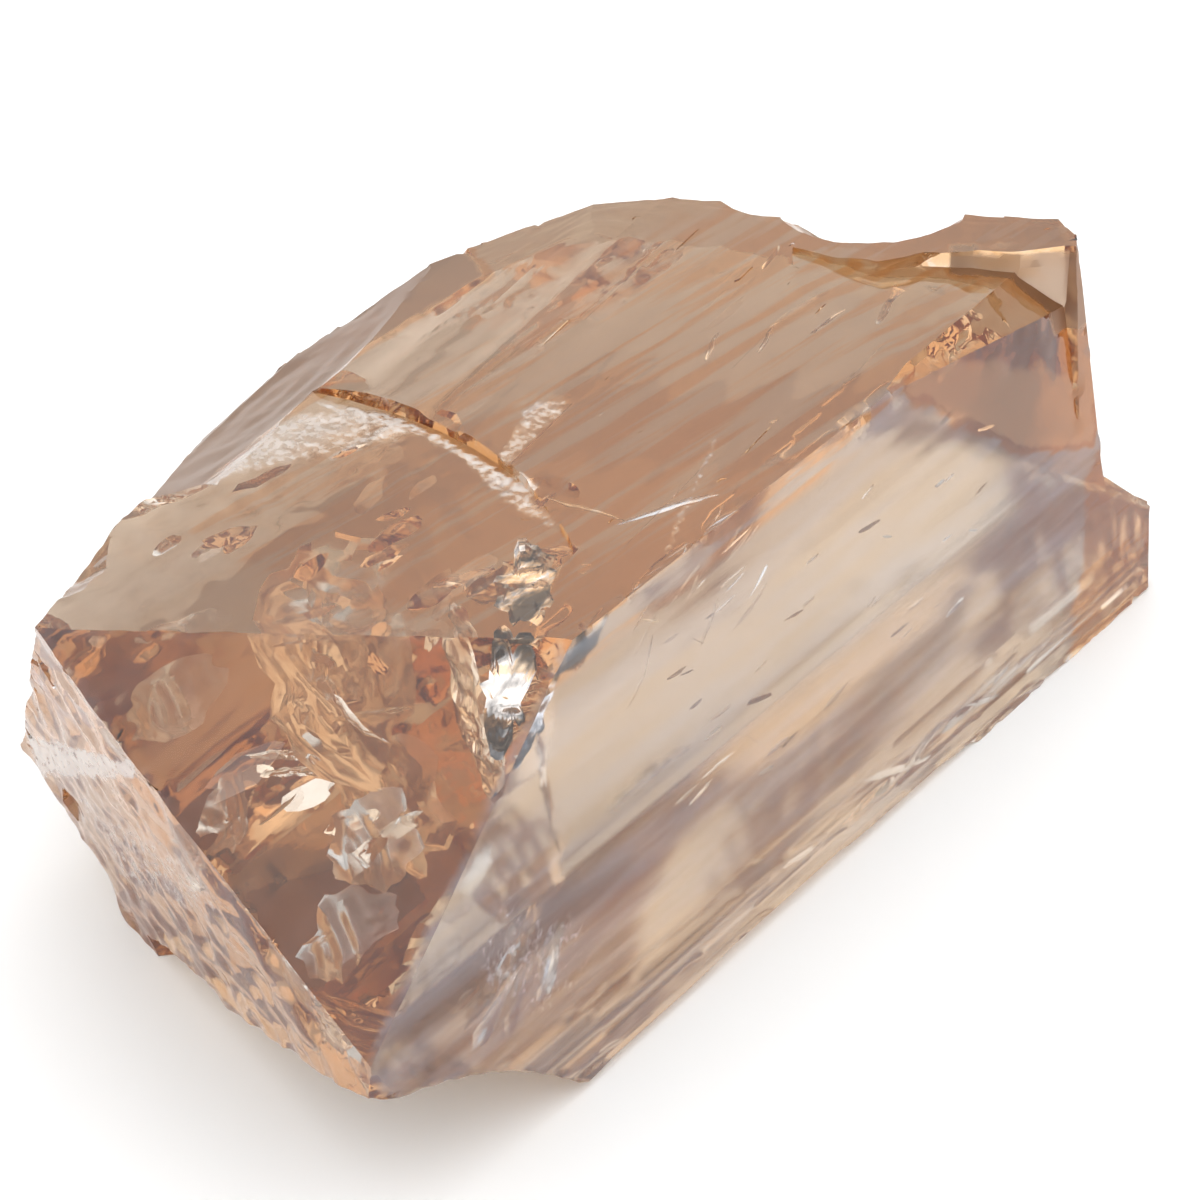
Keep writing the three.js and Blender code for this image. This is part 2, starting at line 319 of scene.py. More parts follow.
@dataclass(frozen=True)
class TopazFinish:
    """Clear champagne-brown topaz with satin prism faces, frosted bruises and silvery cracks.

    The painted shade, browner colour that stands in for the deeper colour of longer light paths through
    the crystal, is streaky up to a strength of 1, turns even from 1 to 2 and deep brown from 2 to 3.
    The silvery cracks' light and dark streaks are a painted reflection.
    """

    ior: float = 1.62
    absorbed: Triple = (16.5, 35.0, 59.0)  # of each colour, per metre of crystal
    absorption_scale: float = 70.0

    skin: Triple = (1.0, 0.985, 0.965)
    hazed: Triple = (0.56, 0.66, 0.83)
    # painted shade: browner, and above a strength of 2 deep brown, where longer light paths deepen the
    # colour
    painted_shade_colour: Triple = (0.9, 0.57, 0.3)
    deep_painted_shade_colour: Triple = (0.31, 0.21, 0.16)
    frosted: Triple = (0.9, 0.85, 0.81)
    # painted reflection: the dark and light streaks that the silvery cracks show for the surroundings they
    # mirror
    painted_reflection_dark: Triple = (0.1, 0.1, 0.11)
    painted_reflection_light: Triple = (0.97, 0.96, 0.98)

    polish: float = 0.02  # the roughness of clean faces
    satin_rough: float = 0.16
    soft_rough: float = 0.16
    frost_rough: float = 0.6
    deep_rough: float = 0.4

    veil: float = 0.16  # how much of a satin face the pale veil hides
    frost_cover: float = 0.72
    deep_cover: float = 0.6

    even_from: float = 1.0
    deep_from: float = 2.0
    painted_shade_edge: Pair = (0.4, 0.58)  # the streaks' values between which the painted shade comes in
    veil_edge: Pair = (0.75, 0.2)
    frost_edge: Pair = (0.3, 0.95)
    frost_least: float = 0.1
    frost_grain: float = 1.5

    grain_waves: float = 4.0  # to the mm
    streak_waves: float = 1.3
    streak_stretch: Triple = (1.0, 0.06, 1.0)
    streak_skew: float = 0.1  # radians
    streak_detail: float = 3.0
    # the streaks of the painted reflection on the silvery cracks
    glint_waves: float = 1.0
    glint_stretch: Triple = (1.5, 0.5, 0.8)
    glint_detail: float = 3.0
    glint_edge: Pair = (0.38, 0.56)

    streak_height: float = 0.006  # mm
    streak_least: float = 0.35  # the streaks' strength off the satin faces
    pit_height: float = 0.006

    def material(self) -> bpy.types.Material:
        """Makes the material.

        Returns:
            See-through topaz, with the colour inside it taken up along the way.
        """
        material = bpy.data.materials.new("champagne_topaz")
        material.use_nodes = True
        bench = Bench(material.node_tree)
        place = self._place(bench)
        grain = bench.noise(place, self.grain_waves)
        streaks = self._streaks(bench, place)
        frost = self._mask(bench, Mask.FROST) * (self.frost_least + grain * self.frost_grain)
        frost = frost.stepped(*self.frost_edge)
        satin = self._mask(bench, Mask.SATIN)
        # painted shade: browner where longer light paths deepen the colour, streaky, then even, then deep
        painted_shade = self._mask(bench, Mask.PAINTED_SHADE)
        deep = (painted_shade - self.deep_from).stepped(0.0, 1.0)
        painted_shade = (painted_shade * streaks.stepped(*self.painted_shade_edge)).peak(painted_shade - self.even_from)
        painted_shade = painted_shade.stepped(0.0, 1.0)
        # the silvery cracks: a mirror coloured with a painted reflection
        silver = self._mask(bench, Mask.SILVER)
        soft = self._mask(bench, Mask.SOFT)
        colour = bench.mixed(satin, opaque(self.skin), opaque(self.hazed))
        colour = bench.mixed(painted_shade, colour, opaque(self.painted_shade_colour))
        colour = bench.mixed(deep, colour, opaque(self.deep_painted_shade_colour))
        colour = bench.mixed(frost, colour, opaque(self.frosted))
        colour = bench.mixed(silver, colour, self._painted_reflection(bench, place))
        rough = (self.polish + satin * self.satin_rough).peak(frost * self.frost_rough)
        rough = rough.peak(deep * self.deep_rough).peak(soft * self.soft_rough)
        veil = satin * (1.0 - painted_shade) * streaks.stepped(*self.veil_edge) * self.veil
        cover = veil.peak(frost * self.frost_cover).peak(deep * self.deep_cover).peak(silver)
        sockets = {
            "Base Color": colour,
            "Roughness": rough,
            "Metallic": cover,
            "IOR": self.ior,
            "Transmission Weight": 1.0,
            "Normal": self._relief(bench, grain * frost, streaks * (self.streak_least + satin)),
        }
        surface = bench.make("ShaderNodeBsdfPrincipled", {}, sockets)
        bench.node("ShaderNodeOutputMaterial", {}, {"Surface": surface, "Volume": self._inside(bench)})
        return material

    @staticmethod
    def _mask(bench: Bench, mask: Mask) -> Wire:
        """One of the masks that the surface carries."""
        return bench.make("ShaderNodeAttribute", {"attribute_name": mask.value}, {}, "Fac")

    @staticmethod
    def _place(bench: Bench) -> Wire:
        """The place on the crystal, in mm.

        Args:
            bench: Where the material is made.

        Returns:
            The object's own place, scaled.
        """
        place = bench.make("ShaderNodeTexCoord", {}, {}, "Object")
        settings = {"operation": "SCALE"}
        return bench.make("ShaderNodeVectorMath", settings, {0: place, "Scale": 1.0 / MM})

    def _streaks(self, bench: Bench, place: Wire) -> Wire:
        """Fine streaks that run along the crystal, a little askew to its edges.

        Args:
            bench: Where the material is made.
            place: The place on the crystal.

        Returns:
            Noise from 0 to 1, drawn out along the crystal.
        """
        settings = {"rotation_type": "Z_AXIS"}
        skewed = bench.make("ShaderNodeVectorRotate", settings, {0: place, "Angle": self.streak_skew})
        drawn = bench.stretched(skewed, self.streak_stretch)
        return bench.noise(drawn, self.streak_waves, self.streak_detail)

    def _painted_reflection(self, bench: Bench, place: Wire) -> Wire:
        """The painted reflection on the silvery cracks: light and dark streaks for the surroundings they
        mirror.

        Args:
            bench: Where the material is made.
            place: The place on the crystal.

        Returns:
            The painted reflection's colour.
        """
        drawn = bench.stretched(place, self.glint_stretch)
        light = bench.noise(drawn, self.glint_waves, self.glint_detail).stepped(*self.glint_edge)
        return bench.mixed(light, opaque(self.painted_reflection_dark), opaque(self.painted_reflection_light))

    def _relief(self, bench: Bench, pits: Wire, streaks: Wire) -> Wire:
        """The surface's finest relief.

        Args:
            bench: Where the material is made.
            pits: The pits of the frosting, from 0 to 1.
            streaks: The growth streaks, from 0 to about 1.

        Returns:
            The normal that they give the surface.
        """
        height = streaks * self.streak_height + pits * self.pit_height
        sockets = {"Height": height, "Distance": MM, "Strength": 1.0}
        return bench.make("ShaderNodeBump", {}, sockets)

    def _inside(self, bench: Bench) -> Wire:
        """The body colour: what the topaz takes up of the light on its way.

        Args:
            bench: Where the material is made.

        Returns:
            The volume.
        """
        passed = tuple(1.0 - value / self.absorption_scale for value in self.absorbed)
        sockets = {"Color": opaque(passed), "Density": self.absorption_scale}
        return bench.make("ShaderNodeVolumeAbsorption", {}, sockets)


@dataclass(frozen=True)
class PaperFinish:
    """The plain pale ground: matt paper, a little uneven in tone."""

    colour: Triple = (0.98, 0.98, 0.98)
    mottle: float = 0.01
    mottle_waves: float = 60.0  # to the metre
    rough: float = 0.9
    gloss: float = 0.2

    def material(self) -> bpy.types.Material:
        """Makes the material.

        Returns:
            The paper.
        """
        material = bpy.data.materials.new("pale_ground")
        material.use_nodes = True
        bench = Bench(material.node_tree)
        place = bench.make("ShaderNodeTexCoord", {}, {}, "Object")
        mottling = bench.noise(place, self.mottle_waves)
        light = tuple(min(1.0, value + self.mottle) for value in self.colour)
        dark = tuple(value - self.mottle for value in self.colour)
        tone = bench.mixed(mottling, opaque(dark), opaque(light))
        sockets = {"Base Color": tone, "Roughness": self.rough, "Specular IOR Level": self.gloss}
        surface = bench.make("ShaderNodeBsdfPrincipled", {}, sockets)
        bench.node("ShaderNodeOutputMaterial", {}, {"Surface": surface})
        return material


# Relief


@dataclass(frozen=True)
class Streaks:
    """Growth lines: soft furrows that run along the crystal."""

    depth: float
    across: float
    along: float
    skew: float = 0.0
    seed: int = 1

    LAYERS = 4

    def depths(self, points: np.ndarray) -> np.ndarray:
        """How far in the surface lies.

        Args:
            points: Places on the crystal, one to a row.

        Returns:
            The depth at each, in mm.
        """
        x, y, z = points.T
        drawn = np.column_stack(((x + self.skew * y) / self.across, y / self.along, z / self.across))
        return self.depth * (0.5 + 0.5 * Noise(self.seed).layered(drawn, self.LAYERS))


@dataclass(frozen=True)
class Shells:
    """Ripples of a shell-like break, in uneven arcs about the place it was struck, and lumps."""

    struck: Triple
    spacing: float
    depth: float
    lumps: float = 0.0
    lump_size: float = 2.0
    seed: int = 2

    WANDER = 0.8  # how far an arc strays, in spacings
    WANDER_SIZE = 3.0
    STRENGTH = 0.6  # the ripples' mean strength, and how far it varies
    VARIATION = 0.4
    VARIATION_SIZE = 2.0
    VARIATION_PLACE = 11.0  # where in the noise it is drawn from
    LUMP_PLACE = 23.0

    def depths(self, points: np.ndarray) -> np.ndarray:
        """How far in the surface lies.

        Args:
            points: Places on the crystal, one to a row.

        Returns:
            The depth at each, in mm.
        """
        noise = Noise(self.seed)
        away = np.linalg.norm(points - np.asarray(self.struck), axis=1)
        stray = noise.at(points / (self.WANDER_SIZE * self.spacing))
        away = away + self.WANDER * self.spacing * stray
        varied = noise.at(points / (self.VARIATION_SIZE * self.spacing) + self.VARIATION_PLACE)
        strength = self.STRENGTH + self.VARIATION * varied
        ripples = 0.5 + 0.5 * np.sin(2 * np.pi * away / self.spacing)
        lumps = np.abs(noise.layered(points / self.lump_size + self.LUMP_PLACE))
        return self.depth * strength * ripples + self.lumps * lumps


Relief = Streaks | Shells


@dataclass(frozen=True)
class Face:
    """One flat face of the crystal: a place on it, where it looks, and the relief on it."""

    through: Triple
    facing: Triple
    reliefs: tuple[Relief, ...] = ()
    satin: float = 0.0
    reach: float = 0.3  # how far off its plane the surface still belongs to it in part
    true: float = 0.0  # how far off it the surface is laid back on it

    FULL = 0.4  # the share of the reach within which the surface wholly belongs to it

    def trued(self, points: np.ndarray) -> np.ndarray:
        """Lays the points that are nearly on the face's plane flat on it.

        Args:
            points: Places on the crystal, one to a row.

        Returns:
            All the points, those within `true` of the plane moved onto it.
        """
        away = off_plane(points, self.through, self.facing)
        away = np.where(np.abs(away) < self.true, away, 0.0)
        return points - np.outer(away, unit(self.facing))

    def nearness(self, points: np.ndarray) -> np.ndarray:
        """How far the surface belongs to this face.

        Args:
            points: Places on the crystal, one to a row.

        Returns:
            1 at the face's plane, falling to 0 a little way off it.
        """
        away = np.abs(off_plane(points, self.through, self.facing))
        return eased(away, self.reach, self.FULL * self.reach)


@dataclass(frozen=True)
class Patch:
    """A patch of frosting or of painted shade on a face: a region of a plane whose corners all point out."""

    mask: Mask
    through: Triple
    facing: Triple
    corners: tuple[Triple, ...]
    strength: float = 1.0
    blur: float = 0.25
    depth: float = 0.4  # how far off its plane the patch reaches

    FULL = 0.5  # the share of the depth within which it has its full strength
    WANDER_SEED = 5
    WANDER_SIZE = 0.9

    def cover(self, points: np.ndarray) -> np.ndarray:
        """How much of the patch lies on the surface.

        Args:
            points: Places on the crystal, one to a row.

        Returns:
            The patch's strength at each, 0 outside it.
        """
        facing = unit(self.facing)
        away = np.abs(off_plane(points, self.through, self.facing))
        cover = eased(away, self.depth, self.FULL * self.depth)
        corners = [np.asarray(corner, float) for corner in self.corners]
        middle = sum(corners) / len(corners)
        wander = Noise(self.WANDER_SEED).layered(points / self.WANDER_SIZE) * self.blur
        for corner, following in zip(corners, corners[1:] + corners[:1]):
            outward = unit(np.cross(following - corner, facing))
            if outward @ (middle - corner) > 0:
                outward = -outward
            cover = cover * eased((points - corner) @ outward + wander, self.blur, -self.blur)
        return cover * self.strength


@dataclass(frozen=True)
class Fracture:
    """A thin crack inside the crystal: a bent sheet of air with rippled walls and a ragged rim."""

    at: Triple
    facing: Triple
    along: Triple
    length: float
    width: float
    bend: float = 0.4
    ripple: float = 0.03
    spacing: float = 0.7
    waves: float = 0.15
    gap: float = 0.03
    ragged: float = 0.35
    # silvery, with a painted reflection, from 0 to 1
    silver: float = 0.0
    soft: float = 0.0
    rings: int = 15
    spokes: int = 34
    seed: int = 3

    RIM_SIZE = 1.3  # the ring through the noise that shapes the rim, and the height it lies at
    RIM_HEIGHT = 4.7
    RIM_LAYERS = 4
    RIM_WIDEST = 1.1
    RIM_NOTCH = 1.6
    TAPER = 4  # how sharply the gap closes towards the rim
    BEND_ACROSS = 0.5
    WAVE_SIZE = 1.3
    WAVE_LAYERS = 2
    WAVE_PLACE = 3.1  # where in the noise the waves are drawn from
    STRUCK = 1.2  # how far from the middle the ripples start, in lengths
    STRAY = 0.2
    STRAY_SIZE = 1.5

    def surface(self) -> tuple[np.ndarray, list[tuple[int, ...]]]:
        """Makes the crack's walls, facing into the air between them.

        Returns:
            Points in the working frame's mm, and faces.
        """
        share, turn = np.meshgrid(
            np.arange(1, self.rings + 1) / self.rings,
            2 * np.pi * np.arange(self.spokes) / self.spokes,
            indexing="ij",
        )
        share, turn = share.ravel(), turn.ravel()
        noise = Noise(self.seed)
        reach = share * self._rim(turn, noise)
        u = np.append(reach * self.length * np.cos(turn), 0.0)
        v = np.append(reach * self.width * np.sin(turn), 0.0)
        half_gap = 0.5 * self.gap * (1.0 - np.append(share, 0.0) ** self.TAPER)
        w = self._sag(u, v, noise)
        upper = self._laid(u, v, w + half_gap)
        lower = self._laid(u, v, w - half_gap)
        rim = (self.rings - 1) * self.spokes
        inner = list(range(rim)) + [rim + self.spokes]
        points = np.vstack((upper, lower[inner]))
        return points, self._faces(len(upper), rim)

    def _rim(self, turn: np.ndarray, noise: Noise) -> np.ndarray:
        """The ragged rim.

        Args:
            turn: The directions from the middle, in radians.
            noise: The crack's own noise.

        Returns:
            How far out the rim lies in each, as a share of the crack's length and width.
        """
        height = np.full(turn.shape, self.RIM_HEIGHT)
        ring = np.column_stack((self.RIM_SIZE * np.cos(turn), self.RIM_SIZE * np.sin(turn), height))
        notches = np.abs(noise.layered(ring, self.RIM_LAYERS))
        return self.RIM_WIDEST - self.RIM_NOTCH * self.ragged * notches

    def _sag(self, u: np.ndarray, v: np.ndarray, noise: Noise) -> np.ndarray:
        """How far the sheet stands off its plane: bent, waved, and rippled about one end.

        Args:
            u: Places along the sheet, from its middle.
            v: Places across it.
            noise: The crack's own noise.

        Returns:
            The heights over the sheet's plane, in mm.
        """
        bent = self.bend * ((u / self.length) ** 2 + self.BEND_ACROSS * (v / self.width) ** 2)
        flat = np.column_stack((u, v, np.zeros(u.shape)))
        waved = np.abs(noise.layered(flat / self.WAVE_SIZE + self.WAVE_PLACE, self.WAVE_LAYERS))
        away = np.hypot(u + self.STRUCK * self.length, v) + self.STRAY * noise.at(flat / self.STRAY_SIZE)
        return bent + self.waves * waved + self.ripple * np.sin(2 * np.pi * away / self.spacing)

    def _laid(self, u: np.ndarray, v: np.ndarray, w: np.ndarray) -> np.ndarray:
        """Lays the sheet in its place in the crystal.

        Args:
            u: Places along the sheet, from its middle.
            v: Places across it.
            w: Heights over its plane.

        Returns:
            Places in the working frame, one to a row.
        """
        out = unit(self.facing)
        along = unit(np.asarray(self.along) - out * (out @ np.asarray(self.along)))
        across = np.cross(out, along)
        return np.asarray(self.at) + np.outer(u, along) + np.outer(v, across) + np.outer(w, out)

    def _faces(self, upper: int, rim: int) -> list[tuple[int, ...]]:
        """The faces of both walls, which share the rim.

        Args:
            upper: How many points the upper wall has; the lower wall's follow.
            rim: The number of the first point on the rim.

        Returns:
            Quads, and triangles about the middle. The quads of both walls start at the same
            corner, so that they fold along the same diagonal and the walls stay apart.
        """
        faces = []
        middle = rim + self.spokes
        below = [*range(upper, upper + rim), *range(rim, middle), upper + rim]
        for j in range(self.spokes):
            k = (j + 1) % self.spokes
            faces.append((middle, k, j))
            faces.append((below[middle], below[j], below[k]))
            for i in range(self.rings - 1):
                a, b = i * self.spokes + j, i * self.spokes + k
                c, d = b + self.spokes, a + self.spokes
                faces.append((a, b, c, d))
                faces.append((below[a], below[d], below[c], below[b]))
        return faces


@dataclass(frozen=True)
class Swarm:
    """Small cracks about a place, alike in size and lie but for chance."""

    middle: Triple
    spread: Triple
    facing: Triple
    along: Triple
    count: int
    length: float
    width: float
    tilt: float = 0.3
    seed: int = 4

    LEAN = 0.6  # how widely the tilts vary
    LEAN_ALONG = 0.5
    SMALLEST = 0.5  # of the stated size; the largest is 1 more
    BEND = 0.12  # of a crack's width
    WAVES = 0.07
    GAP = 0.02
    RAGGED = 0.6
    RINGS = 3
    SPOKES = 12

    def fractures(self) -> list[Fracture]:
        """Makes the cracks of the swarm.

        Returns:
            The cracks.
        """
        chance = np.random.default_rng(self.seed)
        made = []
        for index in range(self.count):
            at = np.asarray(self.middle) + chance.uniform(-1.0, 1.0, 3) * np.asarray(self.spread)
            facing = unit(self.facing) + self.tilt * chance.normal(0.0, self.LEAN, 3)
            along = unit(self.along) + self.LEAN_ALONG * self.tilt * chance.normal(0.0, self.LEAN, 3)
            size = self.SMALLEST + chance.uniform(0.0, 1.0)
            made.append(
                Fracture(
                    tuple(at),
                    tuple(facing),
                    tuple(along),
                    size * self.length,
                    size * self.width,
                    bend=self.BEND * size * self.width,
                    ripple=0.0,
                    waves=self.WAVES * size * self.width,
                    gap=self.GAP,
                    ragged=self.RAGGED,
                    rings=self.RINGS,
                    spokes=self.SPOKES,
                    seed=100 * self.seed + index,
                )
            )
        return made


# The crystal


TOP = Face(
    (8.3, 0.0, 15.2),
    (-0.077, 0.0, 0.997),
    (Streaks(0.05, 1.1, 14.0, 0.138, 11), Streaks(0.02, 0.45, 7.0, 0.138, 12)),
    satin=0.25,
)
RIGHT = Face((8.3, 0.0, 15.2), (0.998, 0.0, 0.069), (Streaks(0.016, 1.2, 16.0, 0.0, 13),), satin=1.0)
LEFT = Face((-11.1, 0.0, 13.7), (-0.9975, 0.0, -0.0705), (Streaks(0.07, 1.6, 11.0, 0.0, 14),), true=0.08)
LOWER_LEFT = Face((-6.9, 0.0, 0.0), (-0.735, 0.0, -0.678), (Streaks(0.07, 1.5, 9.0, 0.0, 15),), true=0.11)
REST = Face((0.0, 0.0, 0.0), (0.0, 0.0, -1.0), (Streaks(0.03, 1.8, 12.0, 0.0, 16),), true=0.05)
WINDOW = Face((8.3, -12.4, 15.2), (0.28, -0.607, 0.744), (), satin=0.08, true=0.06)
WALL = Face(
    (-4.7, -19.8, 14.1),
    (-0.333, -0.911, -0.242),
    (Shells((-4.0, -20.0, 14.0), 1.9, 0.02, 0.3, 1.6, 17),),
    satin=0.3,
    reach=0.4,
)
FAN = Face(
    (-4.6, -19.8, 14.2),
    (-0.09, 0.026, 0.996),
    (Shells((-4.6, -19.8, 14.2), 1.2, 0.03, 0.14, 1.5, 21),),
    reach=0.25,
)
BEVEL = Face(
    (-9.1, -4.6, 12.6),
    (-0.5, -0.11, 0.86),
    (Shells((-7.0, -12.0, 13.5), 1.4, 0.02, 0.08, 1.6, 22),),
    reach=0.6,
)
CLEAVED_BACK = Face((6.83, 14.9, 15.1), (-0.4, 0.905, 0.14), (Streaks(0.03, 1.5, 4.0, 0.0, 18),), true=0.06)
BACK_LEFT = Face(
    (-8.63, 2.68, 13.86),
    (-0.93, 0.33, 0.16),
    (Shells((-8.0, -2.0, 14.0), 1.6, 0.03, 0.2, 1.9, 23),),
    true=0.06,
)
BACK_TURN = Face(
    (-6.4, 8.6, 14.0),
    (-0.62, 0.75, 0.22),
    (Shells((-8.0, 4.0, 14.0), 1.6, 0.03, 0.2, 1.9, 24),),
    true=0.06,
)
FACES = (TOP, RIGHT, LEFT, LOWER_LEFT, REST, WINDOW, WALL, FAN, BEVEL, CLEAVED_BACK, BACK_LEFT, BACK_TURN)
BROKEN = Shells((1.0, -20.0, 8.0), 1.5, 0.04, 0.2, 1.9, 19)

PATCHES = (
    # The wedge of bruises behind the lip across the top.
    Patch(
        Mask.FROST, (0.3, -4.0, 14.55), TOP.facing,
        (
            (0.8, -6.4, 14.6), (1.15, -6.2, 14.6), (0.55, -2.2, 14.6),
            (0.3, -1.9, 14.6), (-0.85, -2.6, 14.5), (-0.3, -4.0, 14.5), (0.1, -5.1, 14.5),
        ),
        strength=0.72,
        blur=0.2,
    ),
    # The pale swirl low on the right face.
    Patch(
        Mask.FROST, (8.9, -15.5, 6.5), RIGHT.facing,
        ((8.8, -19.0, 9.0), (8.7, -15.5, 9.2), (8.9, -12.1, 6.1), (9.1, -12.8, 3.7), (9.1, -16.1, 3.4)),
        strength=0.5,
        blur=1.0,
    ),
    # The bar along the front's broken wall.
    Patch(
        Mask.FROST, WALL.through, WALL.facing,
        ((-9.9, -15.6, 5.9), (-0.6, -20.8, 12.0), (-1.2, -20.2, 10.7), (-9.9, -15.4, 3.9)),
        strength=0.9,
        depth=1.2,
    ),
    # A thin scuff near the top's right edge.
    Patch(
        Mask.FROST, (6.6, -4.6, 15.0), TOP.facing,
        (
            (5.25, -1.5, 15.0), (5.5, -1.6, 15.0), (7.25, -5.6, 15.1),
            (8.0, -7.6, 15.2), (7.75, -7.7, 15.2), (6.9, -5.7, 15.1),
        ),
        strength=0.6,
        blur=0.1,
    ),
    # The lower part of the broken wall.
    Patch(
        Mask.FROST, WALL.through, WALL.facing,
        ((-7.5, -16.6, 5.8), (1.0, -21.2, 9.5), (2.5, -21.0, 7.4), (-5.0, -16.5, 2.5)),
        strength=0.6,
        blur=0.9,
        depth=1.2,
    ),
    # The bowl in front of the lip, and the lip itself, broad and then narrow.
    Patch(
        Mask.FROST, (-3.0, -7.0, 14.3), TOP.facing,
        ((-6.8, -6.4, 14.0), (-4.5, -3.6, 14.2), (-2.0, -6.2, 14.4), (-3.2, -8.9, 14.3)),
        strength=0.42,
        blur=0.8,
        depth=0.8,
    ),
    Patch(
        Mask.FROST, (-3.0, -4.6, 14.3), TOP.facing,
        ((-6.8, -6.6, 14.0), (-4.7, -3.5, 14.2), (-1.9, -4.9, 14.4), (-2.4, -5.6, 14.4), (-4.7, -4.4, 14.2)),
        strength=0.7,
        blur=0.5,
        depth=0.9,
    ),
    Patch(
        Mask.FROST, (1.0, -6.8, 14.6), TOP.facing,
        ((-2.0, -5.0, 14.4), (1.0, -6.2, 14.6), (4.4, -7.4, 14.9), (4.2, -8.0, 14.9), (0.8, -6.9, 14.6)),
        strength=0.75,
        blur=0.4,
        depth=0.9,
    ),
    Patch(
        Mask.FROST, (-4.4, -5.0, 14.2), TOP.facing,
        ((-6.9, -5.6, 14.0), (-4.4, -4.75, 14.2), (-2.1, -5.05, 14.35), (-2.2, -5.6, 14.35)),
        blur=0.15,
        depth=1.2,
    ),
    Patch(
        Mask.FROST, (0.0, -5.9, 14.5), TOP.facing,
        ((-2.4, -5.05, 14.35), (2.6, -6.35, 14.7), (2.5, -6.85, 14.7), (-2.4, -5.6, 14.35)),
        strength=0.9,
        blur=0.15,
        depth=1.2,
    ),
    # Streaky painted shade over the whole top.
    Patch(
        Mask.PAINTED_SHADE, (0.0, 0.0, 14.55), TOP.facing,
        ((-5.5, -14.0, 13.9), (9.0, -14.0, 15.2), (9.0, 16.0, 15.2), (-2.8, 13.0, 13.9)),
        blur=1.4,
        depth=1.5,
    ),
    # Painted shade, partly deep, on the right face's far corner, and on the foot.
    Patch(
        Mask.PAINTED_SHADE, RIGHT.through, RIGHT.facing,
        ((8.3, 3.6, 14.9), (8.7, 10.5, 9.3), (8.9, 15.0, 7.0), (8.3, 15.2, 15.2)),
        strength=2.3,
        blur=0.3,
    ),
    Patch(
        Mask.PAINTED_SHADE, RIGHT.through, RIGHT.facing,
        ((8.85, 14.6, 7.4), (9.35, 13.4, 0.0), (9.35, 19.6, 0.0), (8.9, 19.6, 7.4)),
        strength=1.6,
        blur=0.4,
        depth=1.5,
    ),
    # Painted deep shade on the long bevel.
    Patch(
        Mask.PAINTED_SHADE, BEVEL.through, BEVEL.facing,
        ((-12.8, -15.0, 10.0), (-7.2, -19.0, 13.0), (-6.6, 3.0, 14.3), (-10.0, 6.0, 12.0)),
        strength=2.8,
        depth=1.8,
    ),
    # Painted shade on the shelf's rim, and painted deep shade on the rim's inner wall.
    Patch(
        Mask.PAINTED_SHADE, (6.0, 12.5, 14.8), TOP.facing,
        ((0.5, 9.0, 14.6), (9.0, 13.0, 15.0), (9.5, 16.0, 15.0), (0.5, 14.5, 14.6)),
        strength=1.6,
        depth=1.8,
    ),
    Patch(
        Mask.PAINTED_SHADE, (6.9, 12.7, 14.7), (0.58, -0.81, 0.0),
        ((5.0, 11.3, 12.0), (9.6, 14.6, 12.0), (9.6, 14.6, 15.05), (5.0, 11.3, 15.05)),
        strength=2.75,
        blur=0.2,
        depth=1.0,
    ),
)

